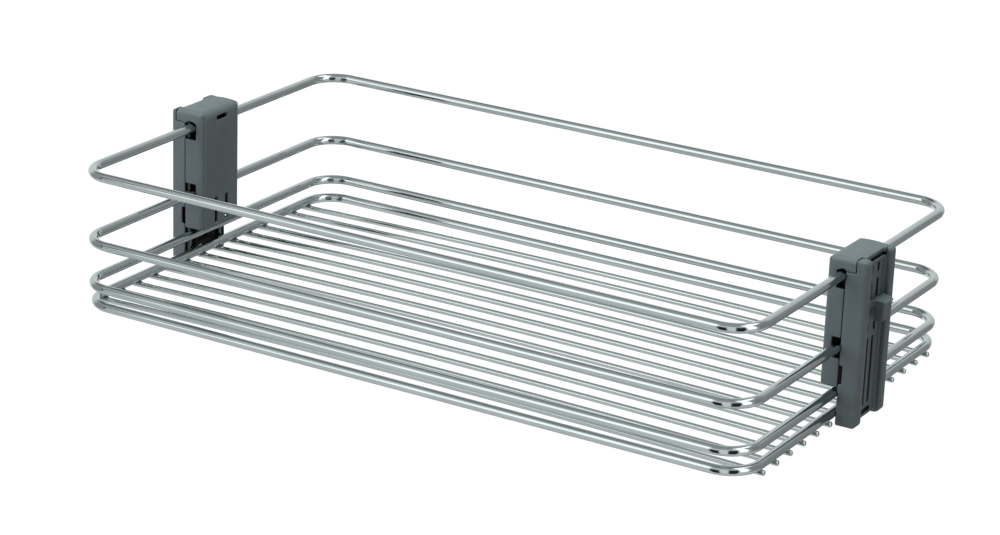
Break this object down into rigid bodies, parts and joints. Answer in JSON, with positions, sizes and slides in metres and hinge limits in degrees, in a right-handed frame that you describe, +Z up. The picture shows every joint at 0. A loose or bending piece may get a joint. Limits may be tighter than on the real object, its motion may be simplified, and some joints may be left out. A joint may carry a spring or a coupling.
{
  "type": "pull out cabinet basket",
  "caption": "Shallow chrome wire basket of stacked rounded hoops and thin floor wires, with a grey plastic clip on each short end that hooks onto the post of a pull out frame.",
  "frame": {"origin": "on the plane of the clips' feet, below the middle of the basket", "axes": "+X along the basket towards its right clip, +Y across the basket towards the back, +Z up"},
  "size_m": [0.5026, 0.275, 0.1037],
  "materials": {
    "chrome_wire": "polished",
    "clip_plastic": "fine satin texture, slate grey",
    "hook_plastic": "fine satin texture, slate grey"
  },
  "bodies": {
    "basket": {"top_hoop": "chrome_wire", "middle_hoop": "chrome_wire", "lower_hoop": "chrome_wire", "base_hoop": "chrome_wire", "floor_wire_01": "chrome_wire", "floor_wire_02": "chrome_wire", "floor_wire_03": "chrome_wire", "floor_wire_04": "chrome_wire", "floor_wire_05": "chrome_wire", "floor_wire_06": "chrome_wire", "floor_wire_07": "chrome_wire", "floor_wire_08": "chrome_wire", "floor_wire_09": "chrome_wire", "floor_wire_10": "chrome_wire", "floor_wire_11": "chrome_wire", "floor_wire_12": "chrome_wire", "floor_wire_13": "chrome_wire", "floor_wire_14": "chrome_wire", "left_front_upright": "chrome_wire", "left_rear_upright": "chrome_wire", "right_front_upright": "chrome_wire", "right_rear_upright": "chrome_wire", "left_cover": "clip_plastic", "right_cover": "clip_plastic", "left_carrier": "clip_plastic", "right_carrier": "clip_plastic"},
    "left_catch": {"left_hook": "hook_plastic"},
    "right_catch": {"right_hook": "hook_plastic"}
  },
  "joints": [
    {"name": "left_hook_slide", "type": "slide", "parent": "basket", "child": "left_catch", "axis": [0, 0, 1], "range_m": [-0.0045, 0.011]},
    {"name": "right_hook_slide", "type": "slide", "parent": "basket", "child": "right_catch", "axis": [0, 0, 1], "range_m": [-0.0045, 0.011]}
  ]
}
